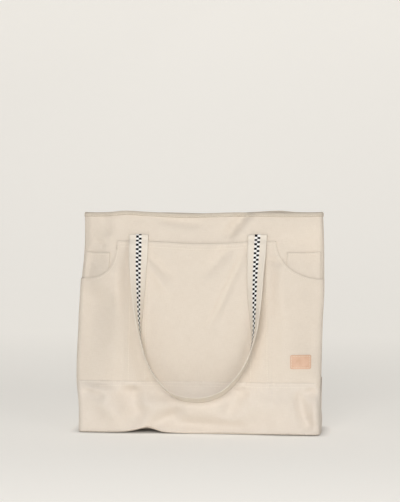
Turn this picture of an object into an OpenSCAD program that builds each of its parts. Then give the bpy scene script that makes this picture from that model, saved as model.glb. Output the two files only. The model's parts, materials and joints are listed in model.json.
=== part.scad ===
// Open-top canvas beach bag with a scooped front pocket and two webbing handles.
// Millimetres. X runs across the bag (+X is the right-hand side seen from the front),
// the front faces -Y, Z is up and the base rests on Z = 0.

/* [Bag body] */

// Height of the bag from the ground to the top of the rim
bag_h = 455; // [380:1:520]
// Width of the front and back panels along the base
base_w = 500; // [420:1:560]
// Width of the panels at their widest height
belly_w = 510; // [420:1:570]
// Height of the widest point above the ground
belly_z = 170; // [120:5:240]
// Width of the panels at the mouth
mouth_w = 496; // [400:1:560]
// Distance between the front and back panels at the base
base_d = 140; // [90:1:190]
// Distance between the front and back panels at the mouth
mouth_d = 36; // [30:1:80]
// Thickness of one layer of canvas
canvas_t = 1.2; // [0.8:0.1:1.6]
// How far each gusset folds in towards the middle at the mouth
gusset_fold = 62; // [30:1:80]
// Height of the doubled canvas band round the bottom
boot_h = 107; // [80:1:140]

/* [Rim binding] */

// Height of the folded binding round the mouth
binding_h = 7.5; // [5:0.5:12]
// Thickness of each side of the binding
binding_t = 1.1; // [0.8:0.1:1.6]
// How far the binding runs past the edge of its panel
binding_over = 1; // [0:0.5:2]

/* [Front pocket] */

// Width of the straight top edge of the front pocket
pocket_top_w = 330; // [290:1:360]
// Height of the top edge of the front pocket above the ground
pocket_top_z = 394; // [360:1:398]
// Height where the scooped corners reach the sides
scoop_z = 316; // [280:1:340]
// Gap between the front pocket and the front panel
pocket_gap = 8; // [7:0.1:8.4]
// Length of pocket tucked in behind the bottom band
pocket_tuck = 12; // [8:1:18]

/* [Coin pockets] */

// Distance from the middle of the bag to the inner edge of each coin pocket
coin_x = 184; // [172:1:190]
// Width of each coin pocket
coin_w = 60; // [50:1:64]
// Height of the coin pocket mouth above the ground
coin_top_z = 372; // [350:1:380]
// Depth of each coin pocket
coin_depth = 82; // [60:1:100]
// How far the coin pocket mouth stands open
coin_gape = 7; // [5:0.1:7.5]

/* [Handles] */

// Width of the handle webbing
web_w = 38; // [25:1:50]
// Thickness of the handle webbing
web_t = 2; // [1.5:0.1:3]
// Distance from the middle of the bag to the middle of each strap
strap_x = 122; // [100:0.5:130]
// Distance up the panel of the fold where the handle starts to hang
fold_u = 408; // [400:1:414]
// Distance from the panel's inner face to the middle of the fold
fold_t = 7.3; // [7.2:0.1:7.6]
// Radius of the folded webbing
fold_r = 5.7; // [5.6:0.1:5.8]
// Length of the straight part of each hanging strap
drop_straight = 198; // [150:1:220]
// Depth of the curved bottom of the hanging loop
drop_curve = 138; // [110:1:150]
// Extra distance the loop stands off where it crosses the bottom band
loop_standoff = 2.8; // [2.6:0.1:4]

/* [Leather patch] */

// Width of the patch
patch_w = 42; // [30:1:60]
// Height of the patch
patch_h = 28; // [20:1:40]
// Thickness of the patch leather
patch_t = 1.8; // [1.2:0.1:2.5]
// Corner radius of the patch
patch_r = 3; // [1:0.5:6]
// Distance from the middle of the bag to the middle of the patch
patch_x = 209; // [180:1:220]
// Height of the middle of the patch above the ground
patch_z = 148; // [135:1:200]
// Distance of the stitching from the edge of the patch
stitch_in = 2.6; // [2:0.1:4]
// Thickness of the sewing thread
thread_t = 0.6; // [0.4:0.1:1]

/* [Hidden] */

$fn = 64;
eps = 0.01;
gap = 0.2;
canvas = [0.89, 0.84, 0.77];
webbing = [0.93, 0.89, 0.82];
leather = [0.86, 0.70, 0.60];
thread = [0.94, 0.91, 0.85];

lean = atan((base_d - mouth_d) / 2 / bag_h);
panel_h = bag_h / cos(lean);
belly_u = belly_z / cos(lean);
boot_u = boot_h / cos(lean);
boot_floor = 0.2;
fold_depth = 4;

leg_in = canvas_t + gap;
leg_out = leg_in + web_t;
pocket_in = canvas_t + pocket_gap;
pocket_out = pocket_in + canvas_t;
pocket_low = boot_u - pocket_tuck;
pocket_top = pocket_top_z / cos(lean);
scoop_u = scoop_z / cos(lean);
scoop_a = (belly_w - pocket_top_w) / 2;

coin_low = coin_top_z / cos(lean) - coin_depth;
coin_tilt = atan(coin_gape / coin_depth);

twist = [[0, 0], [14, 0], [45, 15], [78, 34], [114, 53], [151, 66], [188, 76], [226, 84], [300, 90]];
standoff = [[0, 0], [120, 0], [250, loop_standoff], [500, loop_standoff]];
steps_straight = 22;
steps_curve = 20;

// ---- shared placing and shapes ----

// Children are drawn flat (X across, Y up the panel, Z outwards) and stood on the front panel.
module on_front() {
    translate([0, -base_d / 2, 0]) rotate([90 - lean, 0, 0]) children();
}

module on_back() {
    mirror([0, 1, 0]) on_front() children();
}

module rounded_plate(w, h, r, t) {
    linear_extrude(t) {
        square([w - 2 * r, h], center = true);
        square([w, h - 2 * r], center = true);
        for (x = [-1, 1], y = [-1, 1])
            translate([x * (w / 2 - r), y * (h / 2 - r)]) circle(r);
    }
}

// ---- body panels ----

module panel_outline(low, high) {
    polygon([[-base_w / 2, low], [base_w / 2, low], [belly_w / 2, belly_u],
             [mouth_w / 2, high], [-mouth_w / 2, high], [-belly_w / 2, belly_u]]);
}

module panel() {
    linear_extrude(canvas_t) panel_outline(0, panel_h - binding_t - gap);
}

module front_panel() {
    color(canvas) on_front() panel();
}

module back_panel() {
    color(canvas) on_back() panel();
}

module bottom_panel() {
    color(canvas)
    translate([1 - base_w / 2, 1 - base_d / 2, 0]) cube([base_w - 2, base_d - 2, canvas_t]);
}

// A thin triangle of canvas whose middle surface passes through three points.
module cloth_triangle(a, b, c) {
    n = cross(b - a, c - a);
    h = n / norm(n) * canvas_t / 2;
    polyhedron(points = [a - h, b - h, c - h, a + h, b + h, c + h],
               faces = [[0, 1, 2], [5, 4, 3], [0, 3, 4, 1], [1, 4, 5, 2], [2, 5, 3, 0]]);
}

// A gusset is creased into four flat triangles: one along each panel and two that fold inwards.
module gusset() {
    low_z = canvas_t + 2 * gap;
    high_z = bag_h - binding_h - gap;
    low_x = (base_w - canvas_t) / 2;
    high_x = (mouth_w - canvas_t) / 2;
    low_y = base_d / 2 - low_z * tan(lean) - 2 * gap;
    high_y = base_d / 2 - high_z * tan(lean) - canvas_t;
    crease = canvas_t / 2 + 2 * gap;
    for (side = [-1, 1]) {
        fold_y = side * canvas_t;
        cloth_triangle([low_x, side * low_y, low_z], [high_x, side * high_y, high_z],
                       [low_x, fold_y, low_z]);
        cloth_triangle([high_x - crease, side * high_y, high_z],
                       [high_x - gusset_fold, fold_y, high_z], [low_x - crease, fold_y, low_z]);
    }
}

module right_gusset() {
    color(canvas) gusset();
}

module left_gusset() {
    color(canvas) mirror([1, 0, 0]) gusset();
}

// ---- bottom band ----

module boot_plate(clear_at_tuck) {
    tilt = atan((clear_at_tuck - leg_in) / pocket_low);
    translate([0, 0, leg_in]) rotate([tilt, 0, 0])
    linear_extrude(canvas_t)
    polygon([[-base_w / 2, boot_floor], [base_w / 2, boot_floor],
             [belly_w / 2, boot_u], [-belly_w / 2, boot_u]]);
}

module front_boot_band() {
    color(canvas) on_front() boot_plate(pocket_out + gap);
}

module back_boot_band() {
    color(canvas) on_back() boot_plate(leg_out + gap);
}

module side_boot() {
    low_y = base_d / 2 - 1;
    high_y = base_d / 2 - boot_h * tan(lean) - 1;
    translate([base_w / 2 + gap, 0, 0]) rotate([90, 0, 90])
    linear_extrude(canvas_t)
    polygon([[-low_y, boot_floor], [low_y, boot_floor], [high_y, boot_h], [-high_y, boot_h]]);
}

module right_boot_band() {
    color(canvas) side_boot();
}

module left_boot_band() {
    color(canvas) mirror([1, 0, 0]) side_boot();
}

// ---- pockets ----

module front_apron_pocket() {
    rise = pocket_top - scoop_u;
    right = [for (a = [0 : 6 : 90])
        [belly_w / 2 - scoop_a * sin(a), pocket_top - rise * cos(a)]];
    left = [for (a = [90 : -6 : 0])
        [scoop_a * sin(a) - belly_w / 2, pocket_top - rise * cos(a)]];
    color(canvas) on_front()
    translate([0, 0, pocket_in]) linear_extrude(canvas_t)
    polygon(concat([[-base_w / 2, pocket_low], [base_w / 2, pocket_low]], right, left));
}

module coin_pocket() {
    translate([coin_x, coin_low, leg_in]) rotate([coin_tilt, 0, 0])
    cube([coin_w, coin_depth, canvas_t]);
}

module right_coin_pocket() {
    color(canvas) on_front() coin_pocket();
}

module left_coin_pocket() {
    color(canvas) on_front() mirror([1, 0, 0]) coin_pocket();
}

// ---- rim binding ----

module panel_binding() {
    w = mouth_w + 2 * binding_over;
    low = panel_h - binding_h;
    translate([-w / 2, 0, 0]) difference() {
        translate([0, low, -binding_t]) cube([w, binding_h, canvas_t + 2 * binding_t]);
        translate([-1, low - 1, -gap / 4])
            cube([w + 2, binding_h - binding_t - gap / 2 + 1, canvas_t + gap / 2]);
    }
}

module front_rim_binding() {
    color(canvas) on_front() panel_binding();
}

module back_rim_binding() {
    color(canvas) on_back() panel_binding();
}

module gusset_binding() {
    t = canvas_t + binding_t;
    x0 = mouth_w / 2 - 1;
    x1 = x0 - gusset_fold - fold_depth;
    y0 = mouth_d / 2 - 2 * binding_t;
    translate([0, 0, bag_h - binding_h]) linear_extrude(binding_h)
    polygon([[x0, -y0], [x0, t - y0], [x1 + 4 * t, 0], [x0, y0 - t], [x0, y0], [x1, 0]]);
}

module right_gusset_binding() {
    color(canvas) gusset_binding();
}

module left_gusset_binding() {
    color(canvas) mirror([1, 0, 0]) gusset_binding();
}

// ---- handles ----

// The part of each strap that is sewn flat to the panel, from the bottom band to the fold.
module strap_leg() {
    translate([-web_w / 2, pocket_low, leg_in])
    cube([web_w, fold_u - fold_r - 2 * gap - pocket_low, web_t]);
}

module front_left_strap_leg() {
    color(webbing) on_front() translate([-strap_x, 0, 0]) strap_leg();
}

module front_right_strap_leg() {
    color(webbing) on_front() translate([strap_x, 0, 0]) strap_leg();
}

module back_left_strap_leg() {
    color(webbing) on_back() translate([-strap_x, 0, 0]) strap_leg();
}

module back_right_strap_leg() {
    color(webbing) on_back() translate([strap_x, 0, 0]) strap_leg();
}

// One station of the loop: [x across, distance below the fold, direction of travel].
function straight_station(i, side) =
    [side * strap_x, drop_straight * i / steps_straight, side > 0 ? 90 : -90];

function curve_station(a) =
    [-strap_x * cos(a), drop_straight + drop_curve * sin(a),
     atan2(-drop_curve * cos(a), strap_x * sin(a))];

// The four corners of the webbing at a station, twisted from flat towards standing on edge.
function web_corners(s) =
    let (roll = lookup(s[1], twist),
         out = fold_r - web_t + lookup(s[1], standoff)
               + web_w / 2 * sin(roll) + web_t / 2 * cos(roll),
         nx = -sin(s[2]), ny = cos(s[2]),
         wide = [nx * cos(roll), ny * cos(roll), -sin(roll)] * web_w / 2,
         thin = [nx * sin(roll), ny * sin(roll), cos(roll)] * web_t / 2,
         mid = [s[0], -s[1], out])
    [mid - wide - thin, mid + wide - thin, mid + wide + thin, mid - wide + thin];

module handle_loop() {
    stations = concat(
        [for (i = [0 : steps_straight - 1]) straight_station(i, -1)],
        [for (i = [0 : steps_curve]) curve_station(180 * i / steps_curve)],
        [for (i = [steps_straight - 1 : -1 : 0]) straight_station(i, 1)]);
    last = len(stations) - 1;
    points = [for (s = stations) each web_corners(s)];
    sides = [for (i = [0 : last - 1], k = [0 : 3])
        let (a = 4 * i + k, b = 4 * i + (k + 1) % 4) each [[a, b + 4, b], [a, a + 4, b + 4]]];
    translate([0, fold_u, fold_t]) {
        polyhedron(points = points,
                   faces = concat(sides, [[0, 1, 2, 3], [for (k = [3 : -1 : 0]) 4 * last + k]]));
        for (x = [-strap_x, strap_x])
            translate([x - web_w / 2, 0, 0]) rotate([0, 90, 0]) cylinder(r = fold_r, h = web_w);
    }
}

module front_handle_loop() {
    color(webbing) on_front() handle_loop();
}

module back_handle_loop() {
    color(webbing) on_back() handle_loop();
}

// ---- leather patch ----

module on_patch() {
    on_front() translate([patch_x, patch_z / cos(lean), pocket_out + eps]) children();
}

module leather_patch() {
    color(leather) on_patch() rounded_plate(patch_w, patch_h, patch_r, patch_t);
}

module patch_stitching() {
    w = patch_w - 2 * stitch_in;
    h = patch_h - 2 * stitch_in;
    color(thread) on_patch() translate([0, 0, patch_t + eps]) difference() {
        translate([-w / 2, -h / 2, 0]) cube([w, h, thread_t]);
        translate([thread_t - w / 2, thread_t - h / 2, -1])
            cube([w - 2 * thread_t, h - 2 * thread_t, thread_t + 2]);
    }
}

front_panel();
back_panel();
left_gusset();
right_gusset();
bottom_panel();
front_boot_band();
back_boot_band();
left_boot_band();
right_boot_band();
front_apron_pocket();
left_coin_pocket();
right_coin_pocket();
front_rim_binding();
back_rim_binding();
left_gusset_binding();
right_gusset_binding();
front_left_strap_leg();
front_right_strap_leg();
back_left_strap_leg();
back_right_strap_leg();
front_handle_loop();
back_handle_loop();
leather_patch();
patch_stitching();
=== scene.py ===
"""Looks of the canvas beach bag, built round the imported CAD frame.

The cloth is worked out in millimetres as height maps: how far each layer stands out from the
middle plane of the bag at a place (x, z). Panels, stitching, webbing, binding and patch all read
the same maps, so they lie on each other. Meshes are turned into metres as they are made.
"""

import json
import math

import bpy
import numpy as np
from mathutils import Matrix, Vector


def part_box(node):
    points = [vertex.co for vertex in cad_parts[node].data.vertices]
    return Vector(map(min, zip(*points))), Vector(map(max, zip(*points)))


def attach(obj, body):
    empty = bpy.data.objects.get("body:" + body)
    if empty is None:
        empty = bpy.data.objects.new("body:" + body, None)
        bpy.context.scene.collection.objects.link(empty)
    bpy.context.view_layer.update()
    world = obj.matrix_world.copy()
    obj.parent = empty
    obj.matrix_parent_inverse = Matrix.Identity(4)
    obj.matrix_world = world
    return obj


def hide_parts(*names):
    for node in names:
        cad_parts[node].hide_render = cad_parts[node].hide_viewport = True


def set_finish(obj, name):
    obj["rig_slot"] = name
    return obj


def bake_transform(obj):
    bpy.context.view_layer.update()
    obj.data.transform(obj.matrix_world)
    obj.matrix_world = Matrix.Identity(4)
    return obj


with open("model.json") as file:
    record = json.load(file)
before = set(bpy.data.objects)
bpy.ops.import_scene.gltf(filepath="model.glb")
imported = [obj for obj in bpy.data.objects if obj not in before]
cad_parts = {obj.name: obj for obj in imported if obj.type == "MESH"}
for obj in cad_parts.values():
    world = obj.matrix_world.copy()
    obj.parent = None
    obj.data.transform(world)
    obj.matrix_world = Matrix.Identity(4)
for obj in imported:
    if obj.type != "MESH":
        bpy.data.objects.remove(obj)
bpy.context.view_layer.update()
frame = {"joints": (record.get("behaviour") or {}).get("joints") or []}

MM = 0.001
FRONT, BACK = -1, 1

# ---- driving sizes, from the frame ----


def node_size(node):
    """Width, depth and height of a CAD node, in millimetres."""
    low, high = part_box(node)
    return [(high[i] - low[i]) / MM for i in range(3)]


canvas_t = node_size("bottom_panel")[2]
web_w = node_size("front_left_strap_leg")[0]
web_t = 2.0
strap_x = (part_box("front_right_strap_leg")[0][0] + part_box("front_right_strap_leg")[1][0]) / 2 / MM
rim_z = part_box("left_gusset_binding")[1][2] / MM
binding_h = node_size("left_gusset_binding")[2]
boot_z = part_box("left_boot_band")[1][2] / MM
panel_w, panel_d, panel_h = node_size("front_panel")
slope = (panel_d - canvas_t) / panel_h
base_half = node_size("bottom_panel")[1] / 2 + 1
fold_z = frame["joints"][0]["pos_m"][2] / MM

half_w = 250.0  # nominal half width of the cloth, before its edges follow the side lines
edge_r, boot_edge_r = 11.0, 13.0  # how round a panel and the bottom band turn into the side seam
ply = canvas_t + 0.15  # one more layer of canvas, and the air under it
sewn_gap = 0.15  # the air under a sewn strap
cloth_step = 3.2  # spacing of a cloth's points


# ---- small maths ----


def smoothstep(a, b, v):
    t = np.clip((v - a) / (b - a), 0.0, 1.0)
    return t * t * (3 - 2 * t)


def through(*points):
    """A smooth curve through (x, y) points that doesn't overshoot, as a function of x."""
    px, py = (np.array(c, float) for c in zip(*points))
    d = np.diff(py) / np.diff(px)
    m = np.concatenate([[d[0]], (d[:-1] + d[1:]) / 2, [d[-1]]])
    m[1:-1][d[:-1] * d[1:] <= 0] = 0.0

    def curve(x):
        x = np.clip(np.asarray(x, float), px[0], px[-1])
        i = np.clip(np.searchsorted(px, x, side="right") - 1, 0, len(px) - 2)
        h = px[i + 1] - px[i]
        t = (x - px[i]) / h
        return (
            py[i] * (1 + 2 * t) * (1 - t) ** 2
            + m[i] * h * t * (1 - t) ** 2
            + py[i + 1] * t * t * (3 - 2 * t)
            - m[i + 1] * h * t * t * (1 - t)
        )

    return curve


def along_fold(x, z, start, end):
    """Distance along (0 to 1) and across (millimetres, positive on the left) a fold's line."""
    dx, dz = end[0] - start[0], end[1] - start[1]
    length = math.hypot(dx, dz)
    ux, uz = dx / length, dz / length
    along = ((x - start[0]) * ux + (z - start[1]) * uz) / length
    across = (z - start[1]) * ux - (x - start[0]) * uz
    return along, across


def ridge(x, z, start, end, width, height):
    """A soft fold that stands out, or a valley where height is negative."""
    along, across = along_fold(x, z, start, end)
    ends = smoothstep(-0.25, 0.25, along) * (1 - smoothstep(0.75, 1.25, along))
    return height * ends * np.exp(-((across / width) ** 2))


def drop(x, z, start, end, width, reach, height):
    """A crease with a steep side: the cloth on the left of the line stands out and falls at it."""
    along, across = along_fold(x, z, start, end)
    ends = smoothstep(-0.3, 0.2, along) * (1 - smoothstep(0.8, 1.3, along))
    side = 0.5 + 0.5 * np.tanh(across / width)
    return height * ends * side * np.exp(-((np.maximum(across, 0) / reach) ** 2))


def swell(x, z, centre, size, height):
    return height * np.exp(-(((x - centre[0]) / size[0]) ** 2) - ((z - centre[1]) / size[1]) ** 2)


def folds(x, z, ridges, swells=()):
    """The sum of ridges (start, end, width, height) and swells (centre, size, height)."""
    total = sum(ridge(x, z, *one) for one in ridges)
    return total + sum(swell(x, z, *one) for one in swells)


def ripples(x, z, seed, length, height):
    """Faint unevenness of handled cloth: a few waves in fixed, seeded directions."""
    rng = np.random.default_rng(seed)
    total = np.zeros(np.broadcast(x, z).shape)
    for _ in range(6):
        angle, phase = rng.uniform(0, math.tau), rng.uniform(0, math.tau)
        scale = rng.uniform(0.7, 1.6)
        k = math.tau / (length * scale)
        total = total + np.sin(k * (x * math.cos(angle) + z * math.sin(angle)) + phase)
    return height * total / 6


def puckers(along, away, pitch, height, reach):
    """The small gathers that a row of stitching draws into the cloth beside it."""
    beat = np.sin(math.tau * along / pitch) + 0.6 * np.sin(math.tau * along / (pitch * 1.73) + 1.1)
    return height * beat * np.exp(-((away / reach) ** 2))


# ---- outlines: the side lines by height, then heights by x ----

left_edge = through((0, -249), (35, -249), (65, -250.5), (106, -255.5), (170, -258), (230, -258),
                    (270, -256.5), (318, -254), (353, -250.5), (385, -248.5), (rim_z, -248))
right_edge = through((0, 246.5), (35, 246.5), (82, 247), (132, 248.5), (230, 251), (300, 254),
                     (345, 254), (396, 253.5), (rim_z, 251.5))
rim_line = through((-250, 454), (-192, 455), (-160, 457.6), (-109, 455), (-25, 451.6), (27, 452.8),
                   (80, 454), (124, 454), (182, 453), (252, 454))
hem_line = through((-176, 395.4), (-148, 395), (-108, 394.6), (-4, 389.8), (58, 391), (100, 394),
                   (160, 395.4))
arch = through((-250, 0.3), (-240, 0.4), (-175, 0.5), (-150, 2.2), (-133, 5.6), (-118, 9.6),
               (-108, 11.6), (-98, 9.4), (-84, 5.2), (-70, 2.0), (-50, 0.9), (60, 0.6), (200, 0.6),
               (238, 0.7), (250, 0.3))

hem_left, hem_right = -174.5, 156.0
scoop_foot = 316.5
scoop_power_left, scoop_power_right = 2.7, 2.0
apron_foot = boot_z - 10


def leg_x(z, side):
    """Middle of the strap that is sewn to the panel: it spreads a little towards the base."""
    spread, top = (fold_z - z) / fold_z, smoothstep(300, 400, z)
    left = -strap_x - 4 - 3 * spread - 3.3 * top
    right = strap_x - 2 + 6 * spread - 1.6 * top
    return np.where(side < 0, left, right)


# ---- how far the layers stand out ----


def plain_out(x, z):
    """The stuffed body before its folds: leaning in, and fuller in the middle than at its sides."""
    across = np.clip(np.abs(x) / (panel_w / 2), 0, 1)
    fullness = 12.0 * (1 - across**2.8) * np.sin(math.pi * np.clip(z / rim_z, 0, 1)) ** 1.2
    return base_half + canvas_t - slope * z + fullness


# How far the left side turns back at each height, and the x where its turn starts
left_turn = through((0, 0), (90, 0), (140, 9), (220, 22), (300, 24), (380, 20), (rim_z, 13))
left_turn_at = through((0, -165), (262, -160), (312, -184), (360, -186), (rim_z, -168))
left_turn_w = 74
right_turn = 20.0

front_ridges = [
    ((-172, 352), (-170, 262), 13, 4.2), ((-206, 446), (-196, 410), 13, -3.4),
    ((108, 470), (52, 402), 13, -11.0), ((122, 462), (66, 396), 12, 2.4),
    ((62, 384), (10, 328), 13, -6.2), ((88, 364), (26, 226), 8, -5.2),
    ((-84, 440), (-6, 431), 9, -5.2), ((-150, 441), (-118, 440), 6, -2.1),
    ((-106, 362), (-62, 322), 8, -4.0), ((-108, 350), (-66, 292), 10, 4.2),
    ((-224, 396), (-202, 384), 6, -2.9), ((140, 357), (170, 351), 7, -2.6),
    ((166, 346), (168, 246), 13, 3.1), ((130, 268), (102, 122), 15, -6.5),
    ((-142, 232), (-114, 116), 13, -3.5), ((-242, 452), (-242, 376), 5, -2.4),
]
front_swells = [
    ((180, 418), (50, 26), 1.8), ((0, 100), (110, 52), -6.0),
    ((-235, 345), (12, 30), -3.4), ((-218, 358), (20, 22), -5.0),
]
back_ridges = [
    ((-176, 452), (-150, 240), 18, 2.6), ((182, 440), (160, 200), 20, 2.4),
    ((-90, 330), (-30, 210), 16, -2.6), ((60, 300), (120, 190), 18, -2.2),
]


def front_folds(x, z):
    """Folds seen on the front: creases from the strap and the mouth, and sides that turn back."""
    start = left_turn_at(z)
    left = left_turn(z) * smoothstep(start, start - left_turn_w, x)
    right = smoothstep(168, 254, x) * smoothstep(110, 190, z) * smoothstep(430, 350, z) * right_turn
    under_binding = 1.3 * np.exp(-(((rim_line(x) - binding_h - 1.6 - z) / 1.8) ** 2))
    out = folds(x, z, front_ridges, front_swells) - left - right - under_binding
    return out + ripples(x, z, 11, 95, 1.0) + ripples(x, z, 12, 38, 0.25)


def back_folds(x, z):
    out = folds(x, z, back_ridges) + drop(x, z, (-30, 470), (50, 372), 7.0, 70, 4.0)
    return out + ripples(x, z, 21, 95, 1.3) + ripples(x, z, 22, 38, 0.30)


def behind_boot(x, z):
    """How far a panel steps back behind the bottom band, to leave the band room to fold."""
    return 20.0 * smoothstep(boot_z - 5, boot_z - 26, z) * smoothstep(246, 216, np.abs(x))


def front_out(x, z):
    """Outer face of the front panel."""
    return plain_out(x, z) + front_folds(x, z) - behind_boot(x, z)


def back_out(x, z):
    return plain_out(x, z) + back_folds(x, z) - behind_boot(x, z)


def over_legs(x, z):
    """1 where a strap lies under the cloth, falling to 0 beside it."""
    near = np.minimum(np.abs(x - leg_x(z, -1)), np.abs(x - leg_x(z, 1)))
    return 1 - smoothstep(web_w / 2 + 0.5, web_w / 2 + 9, near)


def hem_roll(away, depth, height):
    """The doubled cloth of a hem that deep below its edge."""
    return height * smoothstep(depth + 1.4, depth - 0.6, away)


def apron_out(x, z):
    """Outer face of the front pocket: tight on the sewn straps and gaping between them."""
    middle = np.clip(1 - (x / (strap_x - web_w / 2)) ** 2, 0, 1)
    beside = smoothstep(strap_x + web_w / 2, strap_x + 45, np.abs(x))
    beside = beside * smoothstep(258, 215, np.abs(x)) * smoothstep(380, 330, z)
    gape = smoothstep(200, 390, z) * (2.6 * middle + 1.6 * beside)
    seam = puckers(x, z - boot_z - 2, 13, 0.22, 9) + puckers(x, z - hem_line(x) + 4, 15, 0.2, 8)
    hem = hem_roll(hem_line(x) - z, 12.5, 0.45)
    coin_side = np.where(x < 0, smoothstep(-158, -190, x), smoothstep(146, 178, x))
    over_coin = 2.6 * smoothstep(225, 305, z) * coin_side
    return front_out(x, z) + ply + web_t * over_legs(x, z) + gape + seam + hem + over_coin


boot_ridges = [
    ((-236, 88), (-196, 76), 11, -3.6), ((-226, 120), (-166, 32), 26, 8.0),
    ((-146, 92), (-124, 26), 22, -7.6), ((-152, 84), (-50, 76), 14, -2.6),
    ((-104, 10), (-38, 47), 14, -6.2), ((-50, 20), (104, 12), 15, -7.5),
    ((90, 98), (60, 40), 15, -5.2), ((97, 31), (150, 20), 15, -2.2),
    ((205, 84), (213, 40), 11, -5.2), ((213, 42), (228, 14), 11, -4.6),
    ((238, 72), (238, 24), 10, 3.5), ((218, 84), (236, 92), 9, -3.2),
]
boot_swells = [((-22, 62), (100, 21), 5.4), ((160, 60), (40, 24), 2.9)]
back_boot_ridges = [((-190, 96), (-120, 40), 14, -2.4), ((60, 90), (150, 44), 16, -2.2)]
boot_fold_scale = 2.1


def boot_folds(x, z):
    out = boot_fold_scale * folds(x, z, boot_ridges, boot_swells)
    return out * smoothstep(boot_z - 1, boot_z - 20, z) + ripples(x, z, 31, 60, 0.5)


def boot_lap(z):
    """How closely the bottom band keeps to the layers under it: fully at its top edge."""
    return smoothstep(0.2 * boot_z, boot_z, z)


def boot_seam(x, z):
    return puckers(x, z - boot_z + 4, 12, 0.22, 9)


def boot_out(x, z):
    """Outer face of the bottom band on the front."""
    under = apron_out(x, boot_z) - front_out(x, boot_z) + 0.75
    lap = boot_lap(z)
    over = ply + (under - ply) * lap
    lift = 3.0 * np.clip(arch(x) / 12, 0, 1) * smoothstep(45, 0, z)
    lift = lift + hem_roll(boot_z - z, 10.5, 0.3) + boot_seam(x, z)
    return plain_out(x, z) + front_folds(x, z) * lap + over + boot_folds(x, z) + lift


def back_boot_out(x, z):
    lap = boot_lap(z)
    over = ply + web_t * over_legs(x, z) * lap + boot_seam(x, z)
    return plain_out(x, z) + back_folds(x, z) * lap + over + folds(x, z, back_boot_ridges)


# ---- mesh making ----

materials = {}


def add_mesh(name, points, faces, uvs, material, slot):
    """A mesh piece from points in millimetres, with one UV per point, in metres."""
    mesh = bpy.data.meshes.new(name)
    mesh.from_pydata((np.asarray(points) * MM).tolist(), [], faces)
    layer = mesh.uv_layers.new(name="UVMap")
    loops = np.empty(len(mesh.loops), int)
    mesh.loops.foreach_get("vertex_index", loops)
    layer.data.foreach_set("uv", (np.asarray(uvs, float)[loops] * MM).ravel())
    mesh.polygons.foreach_set("use_smooth", [True] * len(mesh.polygons))
    mesh.materials.append(materials[material])
    mesh.update()
    piece = bpy.data.objects.new(name, mesh)
    bpy.context.scene.collection.objects.link(piece)
    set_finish(piece, slot)
    return piece


def grid_normals(grid):
    across = np.gradient(grid, axis=1)
    up = np.gradient(grid, axis=0)
    n = np.cross(across, up)
    return n / np.maximum(np.linalg.norm(n, axis=2, keepdims=True), 1e-9)


def shell(name, grid, uv, thickness, material, slot, flip=False, inner_shift=0.0):
    """A closed sheet with rounded edges: grid is its outer face, rows by columns."""
    rows, cols = grid.shape[:2]
    normal = grid_normals(grid) * (-1 if flip else 1)
    inner = grid - normal * thickness
    middle = (grid + inner) / 2
    bulge = 0.42 * thickness

    def outwards(edge, inside):
        d = edge - inside
        return edge + d / np.maximum(np.linalg.norm(d, axis=-1, keepdims=True), 1e-9) * bulge

    rim = middle.copy()
    rim[0], rim[-1] = outwards(middle[0], middle[1]), outwards(middle[-1], middle[-2])
    rim[:, 0] = outwards(middle[:, 0], middle[:, 1])
    rim[:, -1] = outwards(middle[:, -1], middle[:, -2])
    loop = (
        [(0, c) for c in range(cols)]
        + [(r, cols - 1) for r in range(1, rows)]
        + [(rows - 1, c) for c in range(cols - 2, -1, -1)]
        + [(r, 0) for r in range(rows - 2, 0, -1)]
    )
    count = rows * cols
    edge_points, edge_uvs = (np.array([of[i] for i in loop]) for of in (rim, uv))
    points = np.concatenate([grid.reshape(-1, 3), inner.reshape(-1, 3), edge_points])
    face_uvs = uv.reshape(-1, 2)
    uvs = np.concatenate([face_uvs, face_uvs + (inner_shift, 0), edge_uvs])
    quads = []
    for r in range(rows - 1):
        for c in range(cols - 1):
            a, b = r * cols + c, (r + 1) * cols + c
            quads.append((a, a + 1, b + 1, b))
            quads.append((count + a, count + b, count + b + 1, count + a + 1))
    for k, (r, c) in enumerate(loop):
        r2, c2 = loop[(k + 1) % len(loop)]
        a, b = r * cols + c, r2 * cols + c2
        m, n = 2 * count + k, 2 * count + (k + 1) % len(loop)
        quads.append((b, a, m, n))
        quads.append((n, m, count + a, count + b))
    if flip:
        quads = [q[::-1] for q in quads]
    return add_mesh(name, points, quads, uvs, material, slot)


def follow_edges(x, z):
    """Moves a nominal x so that the outer parts keep to the bag's own side lines."""
    reach = smoothstep(90, half_w, np.abs(x))
    return x + reach * np.where(x < 0, left_edge(z) + half_w, right_edge(z) - half_w)


def curl(x, z, radius):
    """How far a layer has turned back at x where its edge rounds into the side seam."""
    away = np.clip(np.minimum(x - left_edge(z), right_edge(z) - x), 0, radius)
    return radius - np.sqrt(np.maximum(radius**2 - (radius - away) ** 2, 0))


def turned(out, radius=edge_r):
    """The same face, turned back at its side edges."""
    return lambda x, z: out(x, z) - curl(x, z, radius)


def layer(out, facing, columns, low, high, step=cloth_step, foot_r=0.0, radius=edge_r, outset=0.0):
    """Grid and UVs of a layer over nominal columns, between two heights that depend on x."""
    x0 = np.asarray(columns, float)[None, :]
    rows = max(4, int(np.max(high(x0) - low(x0)) / step))
    v = np.linspace(0, 1, rows)[:, None]
    z = low(x0) + v * (high(x0) - low(x0))
    x = follow_edges(x0 + 0 * z, z)
    o = turned(out, radius)(x, z)
    x = x + outset * np.sign(x) * smoothstep(200, half_w, np.abs(x0))
    if foot_r:
        rise = np.clip(z - low(x0), 0, foot_r)
        o = o - (foot_r - np.sqrt(np.maximum(foot_r**2 - (foot_r - rise) ** 2, 0)))
    return np.stack([x, facing * o, z], axis=2), np.stack([x, z], axis=2)


def level(z):
    return lambda x: z + 0.0 * np.asarray(x, float)


def edge_turn(radius):
    """Distances in from a side edge, closer together where the cloth turns back."""
    return radius * (1 - np.cos(np.linspace(0, math.pi / 2, 7)))


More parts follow.
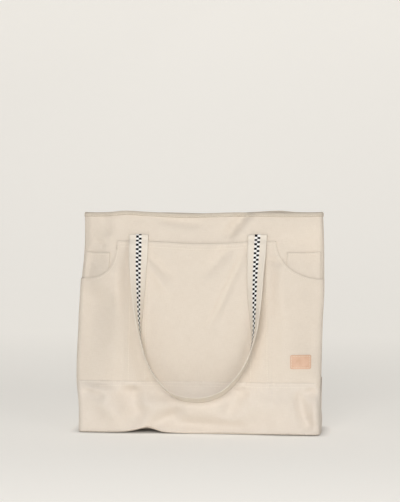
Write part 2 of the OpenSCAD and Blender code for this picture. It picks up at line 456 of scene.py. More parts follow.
def full_columns(radius=edge_r):
    turn, inside = edge_turn(radius), half_w - radius
    middle = np.linspace(-inside, inside, int(2 * inside / cloth_step))[1:-1]
    return np.concatenate([-half_w + turn, middle, half_w - turn[::-1]])


# ---- materials ----


def linear(red, green, blue):
    """An sRGB colour, 0 to 255, as the numbers a shader takes."""
    parts = [c / 255 for c in (red, green, blue)]
    return tuple(c / 12.92 if c <= 0.04045 else ((c + 0.055) / 1.055) ** 2.4
                 for c in parts) + (1.0,)


class Shader:
    """A material and short ways to add nodes to it. Inputs are numbers, colours or outputs."""

    def __init__(self, name, colour, roughness):
        self.material = bpy.data.materials.new(name)
        self.material.use_nodes = True
        self.tree = self.material.node_tree
        self.skin = self.tree.nodes["Principled BSDF"]
        self.set_skin("Base Color", colour)
        self.set_skin("Roughness", roughness)
        materials[name] = self.material

    def set_skin(self, name, value):
        self.put(self.skin.inputs[name], value)

    def put(self, socket, value):
        if isinstance(value, bpy.types.NodeSocket):
            self.tree.links.new(value, socket)
        else:
            socket.default_value = value

    def maths(self, kind, a, b=0.0):
        node = self.tree.nodes.new("ShaderNodeMath")
        node.operation = kind
        for socket, value in zip(node.inputs, (a, b)):
            self.put(socket, value)
        return node.outputs[0]

    def times(self, a, b):
        return self.maths("MULTIPLY", a, b)

    def plus(self, a, b):
        return self.maths("ADD", a, b)

    def wave(self, value, pitch):
        return self.maths("SINE", self.times(value, math.tau / pitch))

    def uv(self):
        """The UV map's two numbers, in millimetres."""
        node = self.tree.nodes.new("ShaderNodeUVMap")
        node.uv_map = "UVMap"
        split = self.tree.nodes.new("ShaderNodeSeparateXYZ")
        self.tree.links.new(node.outputs[0], split.inputs[0])
        return tuple(self.times(part, 1 / MM) for part in split.outputs[:2])

    def noise(self, u, v, scale, detail=3.0, roughness=0.55, shift=0.0):
        place = self.tree.nodes.new("ShaderNodeCombineXYZ")
        for socket, value in zip(place.inputs, (u, v, shift)):
            self.put(socket, value)
        node = self.tree.nodes.new("ShaderNodeTexNoise")
        self.tree.links.new(place.outputs[0], node.inputs["Vector"])
        self.put(node.inputs["Scale"], scale)
        self.put(node.inputs["Detail"], detail)
        self.put(node.inputs["Roughness"], roughness)
        return node.outputs[0]

    def mix(self, factor, a, b):
        node = self.tree.nodes.new("ShaderNodeMix")
        node.data_type = "RGBA"
        self.put(node.inputs[0], factor)
        self.put(node.inputs[6], a)
        self.put(node.inputs[7], b)
        return node.outputs[2]

    def ramp(self, value, low, high, to_low=0.0, to_high=1.0):
        node = self.tree.nodes.new("ShaderNodeMapRange")
        for socket, v in zip(node.inputs, (value, low, high, to_low, to_high)):
            self.put(socket, v)
        return node.outputs[0]

    def bump(self, height, distance, strength=1.0, under=None):
        node = self.tree.nodes.new("ShaderNodeBump")
        self.put(node.inputs["Height"], height)
        self.put(node.inputs["Distance"], distance * MM)
        self.put(node.inputs["Strength"], strength)
        if under is not None:
            self.put(node.inputs["Normal"], under)
        return node.outputs[0]


def canvas_shader(name, colour, darker, thread=0.85):
    """Plain weave: threads over and under with painted shade where they dip, slubs, seed flecks and a
    faint handled unevenness.
    """
    s = Shader(name, linear(*colour), 0.92)
    u, v = s.uv()
    wave = s.times(s.wave(u, 2 * thread), s.wave(v, 2 * thread))
    slub_up = s.noise(s.times(u, 1.1), s.times(v, 0.09), 1.0, 2.0)
    slub_across = s.noise(s.times(u, 0.07), v, 1.0, 2.0, shift=7.0)
    slubs = s.times(s.plus(slub_up, slub_across), 0.5)
    mottle = s.noise(u, v, 0.035, 4.0, 0.6, shift=3.0)
    fleck = s.ramp(s.noise(u, v, 0.62, 2.0, 0.5, shift=11.0), 0.72, 0.80)
    shade = s.plus(s.ramp(slubs, 0.32, 0.68, 0.0, 0.55), s.ramp(mottle, 0.3, 0.7, 0.0, 0.2))
    # painted shade: the colour leans to the darker canvas where the weave dips
    shade = s.plus(shade, s.ramp(wave, -1.0, 0.2, 0.22, 0.0))
    base = s.mix(shade, linear(*colour), linear(*darker))
    s.set_skin("Base Color", s.mix(s.times(fleck, 0.35), base, linear(150, 120, 88)))
    soft = s.bump(s.noise(u, v, 0.045, 3.0, 0.5, shift=5.0), 1.5, 0.55)
    ruck = s.bump(s.noise(u, v, 0.16, 3.0, 0.55, shift=9.0), 0.42, 0.6, soft)
    slub_bump = s.bump(slubs, 0.30, 0.7, ruck)
    s.set_skin("Normal", s.bump(wave, 0.11, 0.75, slub_bump))
    s.set_skin("Sheen Weight", 0.12)
    s.set_skin("Sheen Roughness", 0.6)
    s.set_skin("Specular IOR Level", 0.2)


canvas_shader("canvas", (231, 220, 206), (219, 206, 190))
canvas_shader("canvas_band", (232, 222, 210), (221, 209, 195))
canvas_shader("canvas_inside", (222, 211, 197), (208, 196, 181))
# The binding's darker colours are painted shade: they stand in for the shade on the tape's curved
# face and the shadow line under it.
canvas_shader("binding", (214, 203, 188), (194, 182, 165), thread=0.7)

check = 4.7  # side of one woven check
check_half = 5.7  # half the width of the checked band


def webbing_shader():
    """Ribbed twill with painted shade in the hollows of its ribs, and two columns of dark checks
    along its middle, a little ragged.
    """
    s = Shader("webbing", linear(236, 226, 207), 0.85)
    u, v = s.uv()
    rib = s.wave(v, 1.35)
    twill = s.wave(s.plus(v, s.maths("ABSOLUTE", u)), 2.3)
    grain = s.noise(s.times(u, 0.35), v, 1.4, 3.0)
    relief = s.plus(s.times(rib, 0.5), s.times(twill, 0.5))
    cream = s.mix(s.ramp(grain, 0.3, 0.7, 0.0, 0.5), linear(240, 231, 218), linear(227, 216, 201))
    # painted shade: the cream darkens to brown in the hollows of the ribs and twill
    cream = s.mix(s.ramp(relief, -1.0, 0.0, 0.16, 0.0), cream, linear(176, 158, 132))
    ragged = s.times(s.maths("SUBTRACT", grain, 0.5), 0.4)
    du = s.plus(u, ragged)
    row = s.maths("FLOORED_MODULO", s.maths("DIVIDE", s.plus(v, ragged), check), 2.0)
    upper = s.maths("GREATER_THAN", row, 1.0)
    right = s.maths("GREATER_THAN", du, 0.0)
    inked = s.maths("ABSOLUTE", s.maths("SUBTRACT", upper, right))
    band = s.maths("LESS_THAN", s.maths("ABSOLUTE", du), check_half)
    white = s.mix(s.times(band, 0.9), cream, linear(252, 251, 249))
    # painted shade: the navy is darker in the hollows of the ribs
    navy = s.mix(s.ramp(relief, -1.0, 1.0), linear(4, 4, 9), linear(13, 14, 22))
    s.set_skin("Base Color", s.mix(s.times(inked, band), white, navy))
    s.set_skin("Normal", s.bump(relief, 0.22, 0.8, s.bump(grain, 0.15, 0.6)))
    s.set_skin("Specular IOR Level", 0.15)


def leather_shader():
    s = Shader("leather", linear(214, 170, 138), 0.55)
    u, v = s.uv()
    grain = s.noise(u, v, 1.3, 5.0, 0.65)
    pores = s.noise(u, v, 3.2, 2.0, 0.5, shift=4.0)
    cloud = s.noise(u, v, 0.09, 3.0, 0.5, shift=8.0)
    tone = s.mix(s.ramp(cloud, 0.3, 0.7), linear(232, 196, 170), linear(220, 180, 152))
    tone = s.mix(s.ramp(grain, 0.35, 0.65, 0.25, 0.0), tone, linear(190, 146, 118))
    s.set_skin("Base Color", tone)
    s.set_skin("Roughness", s.ramp(grain, 0.3, 0.7, 0.62, 0.45))
    s.set_skin("Normal", s.bump(s.plus(grain, s.times(pores, 0.5)), 0.22, 0.7))


def thread_shader():
    s = Shader("thread", linear(232, 221, 203), 0.8)
    u, v = s.uv()
    twist = s.wave(s.plus(u, v), 0.5)
    shade = s.ramp(twist, -1.0, 1.0, 0.25, 0.0)
    s.set_skin("Base Color", s.mix(shade, linear(246, 238, 224), linear(212, 198, 176)))
    s.set_skin("Normal", s.bump(twist, 0.06, 0.6))


webbing_shader()
leather_shader()
thread_shader()

# ---- the body: front, back, sides, bottom ----

main_columns = full_columns()


def body_shell(name, out, facing, low, high, material, node, flat, columns=main_columns,
               area=None, **how):
    """A sheet of the bag's body, ridden by the bag."""
    grid, uv = layer(out, facing, columns, low, high, **how)
    piece = shell(name, grid, uv, canvas_t, material, "canvas", flip=facing > 0)
    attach(piece, "bag")
    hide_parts(node)


panel_foot = 1.6
rim_gap = 0.6  # how far the cloth stops below the line of the mouth


def rim_under(x):
    return rim_line(x) - rim_gap


def back_rim_under(x):
    return rim_line(-x) - rim_gap


body_shell("front_panel_cloth", front_out, FRONT, lambda x: arch(x) + panel_foot, rim_under,
           "canvas", "front_panel", (0.50, 0.458), foot_r=8)
body_shell("back_panel_cloth", back_out, BACK, level(panel_foot), back_rim_under,
           "canvas", "back_panel", (0.50, 0.458), foot_r=8)
boot_how = {"columns": full_columns(boot_edge_r), "foot_r": 6, "radius": boot_edge_r,
            "step": 2.4, "outset": 1.8}
body_shell("front_boot_cloth", boot_out, FRONT, arch, level(boot_z),
           "canvas_band", "front_boot_band", (0.50, 0.108), **boot_how)
body_shell("back_boot_cloth", back_boot_out, BACK, level(0.0), level(boot_z),
           "canvas_band", "back_boot_band", (0.50, 0.108), **boot_how)


def pocket_top(x):
    """Top edge of the front pocket: the hem in the middle and a scoop down to each side seam."""
    x = np.asarray(x, float)

    def scoop(start, power):
        t = np.clip((half_w - np.abs(x)) / (half_w - abs(start)), 0, 1)
        top = hem_line(start)
        return top - (top - scoop_foot) * (1 - t**power) ** (1 / power)

    left, right = scoop(hem_left, scoop_power_left), scoop(hem_right, scoop_power_right)
    return np.where(x < hem_left, left, np.where(x > hem_right, right, hem_line(x)))


def scoop_columns(power, start, edge):
    """Columns across a scoop, spaced so that its steep end is as smooth as its flat one."""
    q = np.linspace(0, 1, 42)[1:] ** (power / 2) * math.pi / 2
    x = edge + (start - edge) * np.cos(q) ** (2 / power)
    return x[np.abs(x) < half_w - edge_r - 0.5]


apron_columns = np.concatenate([
    -half_w + edge_turn(edge_r),
    scoop_columns(scoop_power_left, hem_left, -half_w)[::-1],
    np.linspace(hem_left, hem_right, 106),
    scoop_columns(scoop_power_right, hem_right, half_w),
    half_w - edge_turn(edge_r)[::-1],
])
body_shell("front_pocket_cloth", apron_out, FRONT, level(apron_foot), pocket_top,
           "canvas", "front_apron_pocket", (0.50, 0.298), columns=apron_columns, area=0.142,
           outset=1.6)


def coin_out(gape_x):
    """Outer face of a small pocket whose mouth stands open most at gape_x."""
    def out(x, z):
        lift = 1.9 * smoothstep(345, 371, z) * np.exp(-(((x - gape_x) / 24) ** 2))
        return front_out(x, z) + ply + 0.15 + lift + puckers(x, z - 366, 9, 0.15, 5)
    return out


coin_foot = 292.0
left_coin_out, right_coin_out = coin_out(-216), coin_out(214)
left_coin_top = through((-250, 372.6), (-215, 370.4), (-186, 371.5))
right_coin_top = through((174, 372.6), (212, 371.0), (250, 373.4))
body_shell("left_coin_pocket_cloth", left_coin_out, FRONT, level(coin_foot), left_coin_top,
           "canvas", "left_coin_pocket", (0.060, 0.080), columns=np.linspace(-245, -190, 24))
body_shell("right_coin_pocket_cloth", right_coin_out, FRONT, level(coin_foot), right_coin_top,
           "canvas", "right_coin_pocket", (0.071, 0.080), columns=np.linspace(178, 244.5, 28))

side_step, side_columns = 4.0, 45


def side_depth(z):
    """Depth of the fold. It is deeper where the panels' edges turn in and leave less width."""
    turn_in = smoothstep(110, 190, z) * smoothstep(440, 350, z)
    return 62 * np.clip(z / rim_z, 0, 1) ** 1.25 + 16 * turn_in


def side_grid(side, front_edge, back_edge, low, high, extra):
    """Outer face of a side: full at the foot and folded in towards the mouth."""
    v = np.linspace(0, 1, int((high - low) / side_step))[:, None]
    even = np.linspace(-1, 1, side_columns)[None, :]
    t = 0.5 * np.sin(even * math.pi / 2) + 0.5 * even
    z = low + v * (high - low) + 0 * t
    z = z - 2.2 * (1 - np.abs(t)) * v
    edge = right_edge(z) if side > 0 else left_edge(z)
    y = np.where(t < 0, t * front_edge(edge, z), t * back_edge(edge, z))
    soft = (np.sqrt(t**2 + 0.006) - 0.0775) / (1.003 - 0.0775)  # 0 at the crease, 1 at the edges
    x = edge - side * (side_depth(z) * (1 - soft) - extra * (1 - t**8))
    x = x + side * 3.4 * np.exp(-(((z - 34) / 46) ** 2)) * (1 - t**2)
    x = x + side * (1 - t**4) * ripples(y, z, 41 + side, 55, 1.2)
    return np.stack([x, y, z], axis=2), np.stack([y + 300 * side, z], axis=2)


def side_shell(name, side, front_edge, back_edge, low, high, extra, material, node, flat, held):
    grid, uv = side_grid(side, front_edge, back_edge, low, high, extra)
    piece = shell(name, grid, uv, canvas_t, material, "canvas", flip=side < 0)
    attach(piece, "bag")
    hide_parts(node)


panel_edges = turned(front_out), turned(back_out)
boot_edges = turned(boot_out, boot_edge_r), turned(back_boot_out, boot_edge_r)
for side, word in ((-1, "left"), (1, "right")):
    side_shell(f"{word}_gusset_cloth", side, *panel_edges, panel_foot, rim_z - rim_gap, 0.0,
               "canvas", f"{word}_gusset", (0.130, 0.455), "folded")
    side_shell(f"{word}_boot_cloth", side, *boot_edges, 0.6, boot_z, ply + 0.4,
               "canvas_band", f"{word}_boot_band", (0.130, 0.107), "stretched")

base_x, base_y = 246, 66.5
bx, by = np.meshgrid(np.linspace(-base_x, base_x, 120), np.linspace(-base_y, base_y, 40))
draw_in = np.clip(1 - (np.abs(by) / base_y) ** 6 * 0.02, 0, 1)
floor_lift = arch(bx) * smoothstep(-15, -66, by)
bottom_grid = np.stack([bx * draw_in, by, 0.25 + floor_lift + canvas_t], axis=2)
bottom_uv = np.stack([bx, by], axis=2)
bottom = shell("bottom_cloth", bottom_grid, bottom_uv, canvas_t, "canvas_inside", "canvas")
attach(bottom, "bag")
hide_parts("bottom_panel")

# ---- binding round the mouth ----

binding_t = 1.35
behind = -canvas_t - binding_t
tape = np.array([
    (binding_t + 0.25, -binding_h), (binding_t + 0.35, -binding_h * 0.6), (binding_t + 0.3, -1.8),
    (binding_t, -0.2), (binding_t * 0.45, 0.75), (-canvas_t / 2, 1.05),
    (-canvas_t - binding_t * 0.45, 0.75), (behind, -0.2), (behind, -1.8),
    (behind - 0.1, -binding_h),
])  # the folded tape's section: how far out from the cloth's face, how far above its edge


def distances(line):
    """Distance of each point along a line from its first point."""
    return np.concatenate([[0], np.cumsum(np.linalg.norm(np.diff(line, axis=0), axis=1))])


def bind(name, edge_at, outward, node, flip):
    """A folded tape over a cloth's edge. edge_at gives the line on its face at that height."""
    lines = np.array([edge_at(min(height, 0.0)) for _, height in tape])
    above = np.array([0, 0, 1.0]) * np.maximum(tape[:, None, 1:], 0)
    grid = lines + outward[None] * tape[:, None, :1] + above
    along, over = distances(lines[0]), distances(tape)
    uv = np.stack(np.broadcast_arrays(along[None, :], over[:, None]), axis=2)
    # The binding material's darker colour is painted shade on the tape.
    piece = shell(name, grid, uv, 0.8, "binding", "binding", flip=flip)
    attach(piece, "bag")
    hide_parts(node)


def away_from(line, facing_x, facing_y):
    """The level way out from each point of a line."""
    slopes = np.gradient(line, axis=0)
    out = np.stack([facing_x * slopes[:, 1], facing_y * slopes[:, 0], 0 * slopes[:, 0]], axis=1)
    return out / np.linalg.norm(out, axis=1, keepdims=True)


def mouth(out, facing, top):
    """The line along a panel that far from its top edge, and the way out from it."""
    def edge_at(away):
        z = top(main_columns) + away
        x = follow_edges(main_columns, z)
        return np.stack([x, facing * turned(out)(x, z), z], axis=1)

    return edge_at, away_from(edge_at(0), -facing, facing)


bind("front_rim_tape", *mouth(front_out, FRONT, rim_under), "front_rim_binding", False)
bind("back_rim_tape", *mouth(back_out, BACK, back_rim_under), "back_rim_binding", True)
for side, word in ((-1, "left"), (1, "right")):
    grid, _ = side_grid(side, *panel_edges, panel_foot, rim_z - rim_gap, 0.0)
    line = grid[-1]
    bind(f"{word}_side_tape", lambda away: line + (0, 0, away), away_from(line, side, -side),
         f"{word}_gusset_binding", side < 0)

# ---- straps ----

hang_gap = 1.0  # the least air under the hanging loop
join_z = 393.0  # where the loop's webbing takes over from the sewn leg's
fold_r = 2.0
loop_points = [(-128, 406), (-126, 330), (-123, 256), (-121, 222), (-116.5, 190), (-102.5, 145),
               (-79, 108), (-54, 85), (-28, 76), (-1, 73.5), (26, 77), (53, 89), (80, 116),
               (101, 151), (111.5, 186), (115.3, 212), (116, 240), (116, 280), (116.5, 330),
               (119, 406)]
# How far the webbing has rolled, in degrees, that far along it from each fold
roll_left = through((0, 0), (28, 14), (70, 38), (88, 45), (126, 60), (151, 70), (164, 75),
                    (190, 88), (215, 97), (300, 100), (360, 108), (420, 110))
roll_right = through((0, 0), (28, 8), (70, 25), (88, 30), (126, 41), (151, 51), (164, 57),
                     (190, 68), (202, 75), (228, 85), (262, 93), (300, 99), (360, 108), (420, 110))


def resample(points, step):
    """Evenly spaced points on a smooth curve through the given ones, and how far along each is."""
    points = np.array(points, float)
    length = distances(points)
    at = np.linspace(0, length[-1], int(length[-1] / step) + 1)
    curves = [through(*zip(length, points[:, i])) for i in range(points.shape[1])]
    return np.stack([curve(at) for curve in curves], axis=1), at


def fold_end(first, x, z, out, leg_out):
    """The sewn leg's top and the webbing's turn over it, with the way that each point faces."""
    rise = np.linspace(0, math.pi, 14)[:-1]
    zs = np.linspace(join_z, z - 1, 6)
    turn = np.stack([x + 0 * rise, out - fold_r * (1 + np.cos(rise)), z + fold_r * np.sin(rise)],
                    axis=1)
    leg = np.stack([x + 0 * zs, leg_out + slope * (z - zs), zs], axis=1)
    over = np.concatenate([0 * zs, rise])
    places = np.concatenate([leg, turn])
    facing = np.stack([0 * over, -np.cos(over), np.sin(over)], axis=1)
    return (places, facing) if first else (places[::-1], facing[::-1])


def strap(name, face_out, cover_out, facing, sway, node):
    """One length of webbing: over a leg's fold, round the hanging loop, and over the other's."""
    path, at = resample(loop_points, 3.0)
    below = np.minimum(at, at[-1] - at)
    angle = np.radians(np.where(at < at[-1] / 2, roll_left(below), roll_right(below)))
    half = web_w / 2
    x, z = path[:, 0], path[:, 1]
    under = np.minimum(z, 386.0)
    rest = np.max([cover_out(x + d, under) for d in (-half * 0.8, 0, half * 0.8)], axis=0)
    rest = np.convolve(np.pad(rest, 4, mode="edge"), np.ones(9) / 9, mode="valid")
    out = rest + hang_gap + web_t / 2 + half * np.sin(angle) + sway * smoothstep(190, 335, below)
    leg_out = max(float(face_out(v, z[0])) for v in (x[0], x[-1])) + sewn_gap + web_t / 2
    near_fold = smoothstep(387, 403, z)
    out = out * (1 - near_fold) + (leg_out + 2 * fold_r) * near_fold

    (start, start_face), (end, end_face) = (
        fold_end(k == 0, x[k], z[k], out[k], leg_out) for k in (0, -1))
    centre = np.concatenate([start, np.stack([x, out, z], axis=1), end])
    face = np.concatenate([start_face, np.tile([0, 1.0, 0], (len(x), 1)), end_face])
    angle = np.concatenate([np.zeros(len(start)), angle, np.zeros(len(end))])
    for v in (centre, face):
        v[:, 1] *= FRONT
    t = np.gradient(centre, axis=0)
    t /= np.linalg.norm(t, axis=1, keepdims=True)
    face -= t * np.sum(face * t, axis=1, keepdims=True)
    face /= np.linalg.norm(face, axis=1, keepdims=True)
    wide = np.cross(t, face)
    c, s = np.cos(angle)[:, None], np.sin(angle)[:, None]
    wide, face = c * wide + s * face, c * face - s * wide

    even = np.linspace(-1, 1, 17)
    across = 0.5 * half * np.sin(even * math.pi / 2) + 0.5 * half * even
    crown = 0.35 * (1 - (across / half) ** 2)
    grid = (centre[:, None] + wide[:, None] * across[None, :, None]
            + face[:, None] * (web_t / 2 - 0.1 + crown)[None, :, None])
    grid[:, :, 1] *= FRONT * facing
    uv = np.stack(np.broadcast_arrays(across[None, :], distances(centre)[:, None]), axis=2)
    piece = shell(name, grid, uv, web_t, "webbing", "webbing", flip=facing > 0, inner_shift=60.0)
    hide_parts(node)
    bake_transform(piece)


strap("front_handle_webbing", front_out,
      lambda x, z: np.where(z < boot_z, boot_out(x, z), apron_out(x, z)),
      FRONT, 2.0, "front_handle_loop")
strap("back_handle_webbing", back_out,
      lambda x, z: np.where(z < boot_z, back_boot_out(x, z), back_out(x, z) + 5.2),
      BACK, 4.0, "back_handle_loop")


def leg(name, out, facing, side, node):
    """The length of webbing sewn to a panel."""
    z = np.linspace(boot_z - 14, join_z + 6, 84)
    across = np.linspace(-web_w / 2, web_w / 2, 13)
    x = leg_x(z, side)[:, None] + across[None, :]
    zs = z[:, None] + 0 * x
    grid = np.stack([x, facing * (out(x, zs) + sewn_gap + web_t), zs], axis=2)
    uv = np.stack(np.broadcast_arrays(across[None, :] + 30, z[:, None]), axis=2)
    piece = shell(name, grid, uv, web_t - 0.1, "webbing", "webbing", flip=facing > 0)
    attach(piece, "bag")
    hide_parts(node)


for side, word in ((-1, "left"), (1, "right")):
    leg(f"front_{word}_leg_webbing", front_out, FRONT, side, f"front_{word}_strap_leg")
    leg(f"back_{word}_leg_webbing", back_out, BACK, side, f"back_{word}_strap_leg")

# ---- stitching ----


def stitch_rows(name, runs, facing, pitch=3.6, long=2.7, radius=0.42):
    """Rows of separate stitches. A run is (points, out): (x, z) places and the face they lie on."""
    sides, count = 5, 6
    ring = np.linspace(0, math.tau, sides + 1)[:-1]
    stations = np.linspace(-1, 1, count)
    all_points, all_faces, all_uv, base = [], [], [], 0
    quads = [(i * sides + j, i * sides + (j + 1) % sides,
              (i + 1) * sides + (j + 1) % sides, (i + 1) * sides + j)
             for i in range(count - 1) for j in range(sides)]
    quads += [tuple(range(sides))[::-1], tuple((count - 1) * sides + j for j in range(sides))]
    for points, out in runs:
        line, at = resample(points, 0.5)
        spots = np.arange(pitch / 2, at[-1], pitch)
        (px, pz), ahead, back = ([np.interp(spots + d, at, line[:, i]) for i in (0, 1)]
                                 for d in (0, 0.5, -0.5))
        dx, dz = ahead[0] - back[0], ahead[1] - back[1]
        norm = np.hypot(dx, dz)
        dx, dz = dx / norm, dz / norm
        a = stations[None, :, None] * long / 2
        r = radius * np.sqrt(1 - 0.85 * stations**2)[None, :, None]
        b = r * np.cos(ring)[None, None, :]
        up = r * np.sin(ring)[None, None, :] * 0.8 + 0.12 - 0.34 * stations[None, :, None] ** 4
        x = px[:, None, None] + dx[:, None, None] * a - dz[:, None, None] * b
        z = pz[:, None, None] + dz[:, None, None] * a + dx[:, None, None] * b
        y = facing * (out(x, z) + up)
        block = np.stack([x, y, z], axis=3).reshape(-1, 3)
        all_points.append(block)
        uv = np.broadcast_arrays(spots[:, None, None] + a, b + 0 * x)
        all_uv.append(np.stack(uv, axis=3).reshape(-1, 2))
        for n in range(len(spots)):
            o = base + n * count * sides
            all_faces.extend(tuple(o + i for i in (q if facing < 0 else q[::-1])) for q in quads)
        base += len(block)
    piece = add_mesh(name, np.concatenate(all_points), all_faces, np.concatenate(all_uv),
                     "thread", "thread")
    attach(piece, "bag")
    return piece


def run_at(z_of, x0, x1, out, step=6.0):
    """A run across the bag at the height that z_of gives."""
    xs = np.arange(x0, x1 + step / 2, step)
    return list(zip(xs, np.asarray(z_of(xs), float) + 0 * xs)), out


def upright(side, offset, z0, z1, out):
    """A run up a strap, that far from its middle."""
    zs = np.arange(z0, z1, 6.0)
    return list(zip(leg_x(zs, side) + offset, zs)), out


def inset_scoop(side, inset):
    """The scoop's line moved inside the pocket by inset."""
    start, power = (hem_left, scoop_power_left) if side < 0 else (hem_right, scoop_power_right)
    a, b = half_w - abs(start) + inset, float(hem_line(start)) - scoop_foot + inset
    q = np.linspace(0.04, 0.985, 30) * math.pi / 2
    cx, cz = np.cos(q) ** (2 / power), np.sin(q) ** (2 / power)
    xs = side * (half_w - a * cx)
    zs = float(hem_line(start)) - b * cz
    keep = np.abs(xs) < 243
    return list(zip(xs[keep], zs[keep]))


def tape_out(out):
    return lambda x, z: turned(out)(x, z) + binding_t + 0.35


def leg_face(x, z):
    """Outer face of the straps sewn to the back."""
    return back_out(x, z) + web_t + sewn_gap


hem_in, seam_gap = 5.0, 6.5  # first row below the hem, and from it to the second
boot_row = boot_z - 2.6
front_boot_face, back_boot_face = boot_edges
stitch_rows("front_boot_stitches", [
    run_at(level(boot_row), -243, 243, front_boot_face),
    run_at(level(boot_row - seam_gap), -243, 243, front_boot_face),
], FRONT)
stitch_rows("front_pocket_stitches", [
    run_at(lambda x: hem_line(x) - hem_in, hem_left + 6, hem_right - 6, apron_out),
    run_at(lambda x: hem_line(x) - hem_in - seam_gap, hem_left + 8, hem_right - 8, apron_out),
    (inset_scoop(-1, 3.4), turned(apron_out)),
    (inset_scoop(1, 3.4), turned(apron_out)),
    *[upright(side, off, boot_z + 3, 388, apron_out) for side in (-1, 1) for off in (-17.2, 17.2)],
], FRONT)
stitch_rows("front_coin_stitches", [
    run_at(lambda x: left_coin_top(x) - 4, -241, -192, turned(left_coin_out)),
    ([(-192, 368), (-192, 340), (-192, 318)], left_coin_out),
    run_at(lambda x: right_coin_top(x) - 4, 180, 242, turned(right_coin_out)),
    ([(180, 368), (180, 345), (180, 325)], right_coin_out),
], FRONT)
stitch_rows("front_rim_stitches", [
    run_at(lambda x: rim_under(x) - 5.4, -240, 240, tape_out(front_out)),
], FRONT)
stitch_rows("back_rim_stitches", [
    run_at(lambda x: rim_line(-x) - 6.0, -240, 240, tape_out(back_out)),
], BACK)
stitch_rows("back_boot_stitches", [
    run_at(level(boot_row), -243, 243, back_boot_face),
    run_at(level(boot_row - seam_gap), -243, 243, back_boot_face),
], BACK)
strap_in = 16.4
stitch_rows("back_strap_stitches", [
    *[upright(side, off, boot_z + 3, 370, leg_face)
      for side in (-1, 1) for off in (-strap_in, strap_in)],
    *[([(float(leg_x(z, side)) + off, z) for off in (-strap_in, 0, strap_in)], leg_face)
      for side in (-1, 1) for z in (join_z - 6, 340.0)],
], BACK)

# ---- leather patch ----

patch_low, patch_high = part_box("leather_patch")
patch_x0, patch_x1 = patch_low[0] / MM, patch_high[0] / MM
patch_z0, patch_z1 = patch_low[2] / MM, patch_high[2] / MM
patch_thick, patch_r, stitch_in = 1.8, 3.0, 2.6


def patch_outline(inset):
    """Points round a rounded rectangle, inset from the patch's edge."""
    cx, cz = (patch_x0 + patch_x1) / 2, (patch_z0 + patch_z1) / 2
    hx, hz = (patch_x1 - patch_x0) / 2 - inset, (patch_z1 - patch_z0) / 2 - inset
    r = max(patch_r - inset, 0.6)
    places = []
    for sx, sz, first in ((1, 1, 0), (-1, 1, 90), (-1, -1, 180), (1, -1, 270)):
        for a in np.linspace(first, first + 90, 8):
            places.append((cx + sx * (hx - r) + r * math.cos(math.radians(a)),
                           cz + sz * (hz - r) + r * math.sin(math.radians(a))))
    ring = np.array(places + places[:1])
    at = distances(ring)
    spots = np.linspace(0, at[-1], 73)[:-1]
    return np.stack([np.interp(spots, at, ring[:, i]) for i in (0, 1)], axis=1)


def patch_base(x, z):
    """Underside of the patch, on the pocket."""
    return apron_out(x, z) + 0.1


# The patch's section from under its edge to its middle: inset, and height above its underside
patch_rings = [(0.25, 0.0), (0.0, 0.25), (0.0, patch_thick - 0.6), (0.25, patch_thick - 0.2),
               (0.7, patch_thick), (2.0, patch_thick + 0.05)]
patch_rings += [(inset, patch_thick + 0.1) for inset in (4.5, 8.0, 12.0, 13.6)]
points, uvs = [], []
for inset, height in patch_rings:
    ring = patch_outline(inset)
    y = FRONT * (patch_base(ring[:, 0], ring[:, 1]) + height)
    points.append(np.stack([ring[:, 0], y, ring[:, 1]], axis=1))
    uvs.append(ring)
n = len(points[0])
faces = [(i * n + j, i * n + (j + 1) % n, (i + 1) * n + (j + 1) % n, (i + 1) * n + j)
         for i in range(len(points) - 1) for j in range(n)]
faces += [tuple(range(n))[::-1], tuple((len(points) - 1) * n + j for j in range(n))]
patch = add_mesh("leather_patch_piece", np.concatenate(points), faces, np.concatenate(uvs),
                 "leather", "leather")
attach(patch, "bag")
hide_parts("leather_patch")
ring = patch_outline(stitch_in)
patch_run = (np.concatenate([ring, ring[:1]]), lambda x, z: patch_base(x, z) + patch_thick)
stitches = stitch_rows("leather_patch_stitches", [patch_run], FRONT, pitch=3.2, long=2.3)
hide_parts("patch_stitching")

# ---- stage, light and camera ----


def stage_material():
    """Paper that glows a little more towards the back; its glow darkens where something is close, as
    a painted contact shadow.
    """
    s = Shader("paper", linear(202, 199, 194), 0.9)
    s.set_skin("Specular IOR Level", 0.1)
    s.set_skin("Emission Color", linear(232, 229, 223))
    # painted contact shadow: occlusion near the bag dims the paper's glow
    shelter = s.tree.nodes.new("ShaderNodeAmbientOcclusion")
    shelter.samples = 8
    s.put(shelter.inputs["Distance"], 0.022)
    clear = s.maths("POWER", shelter.outputs["AO"], 1.2)
    glow = s.ramp(s.uv()[1], 600.0, 3600.0, 0.515, 0.66)
    s.set_skin("Emission Strength", s.times(clear, glow))


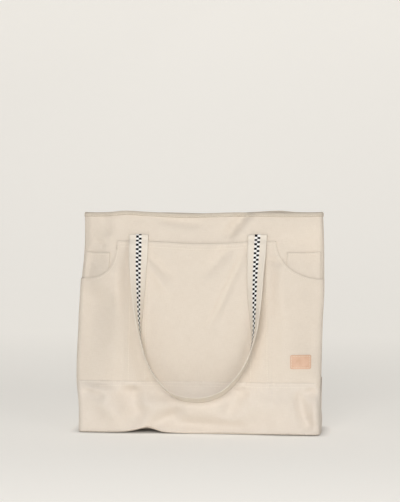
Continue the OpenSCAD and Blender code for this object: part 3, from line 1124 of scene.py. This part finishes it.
stage_material()
sweep_back, sweep_r, sweep_columns = 2400, 1400, 29
bend = np.linspace(0, math.pi / 2, 16)[1:]
sweep_y = np.concatenate([[-6000, -3000], np.linspace(-1500, sweep_back, 40),
                          sweep_back + sweep_r * np.sin(bend), [sweep_back + sweep_r] * 2])
sweep_z = np.concatenate([np.zeros(42), sweep_r * (1 - np.cos(bend)), [3000, 6000]])
sweep_x = np.linspace(-7000, 7000, sweep_columns)
sweep = np.stack(np.broadcast_arrays(sweep_x[None, :], sweep_y[:, None], sweep_z[:, None]), axis=2)
quads = [(a, a + 1, a + sweep_columns + 1, a + sweep_columns)
         for r in range(len(sweep_y) - 1)
         for a in range(r * sweep_columns, (r + 1) * sweep_columns - 1)]
sweep = sweep.reshape(-1, 3)
paper = add_mesh("paper_sweep", sweep, quads, sweep[:, :2], "paper", "")
del paper["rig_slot"]


def softbox(name, place, size, power):
    """A large square light that looks at the middle of the bag."""
    data = bpy.data.lights.new(name, "AREA")
    data.size, data.energy = size, power
    lamp = bpy.data.objects.new(name, data)
    lamp.location = place
    lamp.rotation_euler = (Vector((0, 0, 0.2)) - Vector(place)).to_track_quat("-Z", "Y").to_euler()
    lamp.visible_camera = False
    bpy.context.scene.collection.objects.link(lamp)


softbox("key", (-0.1, -2.9, 1.05), 1.1, 44)
softbox("side", (2.0, -2.4, 1.3), 1.2, 17)
softbox("fill", (-2.4, -2.1, 1.0), 1.6, 3)
softbox("rear", (-1.2, 2.6, 2.4), 2.4, 3)

world = bpy.data.worlds.new("studio")
world.use_nodes = True
background = world.node_tree.nodes["Background"]
background.inputs[0].default_value = (1.0, 0.995, 0.985, 1.0)
background.inputs[1].default_value = 0.19
scene = bpy.context.scene
scene.world = world
scene.view_settings.view_transform = "Standard"
scene.view_settings.look = "None"

yaw, tilt = math.radians(6.4), math.radians(1.5)
distance, eye, sideways = 3.1, 0.455, -0.004
camera_data = bpy.data.cameras.new("camera")
camera_data.lens, camera_data.sensor_width = 106.4, 36.0
camera = bpy.data.objects.new("camera", camera_data)
camera.location = (distance * math.sin(yaw) + sideways * math.cos(yaw),
                   -distance * math.cos(yaw) + sideways * math.sin(yaw), eye)
camera.rotation_euler = (math.pi / 2 - tilt, 0, yaw)
scene.collection.objects.link(camera)
scene.camera = camera
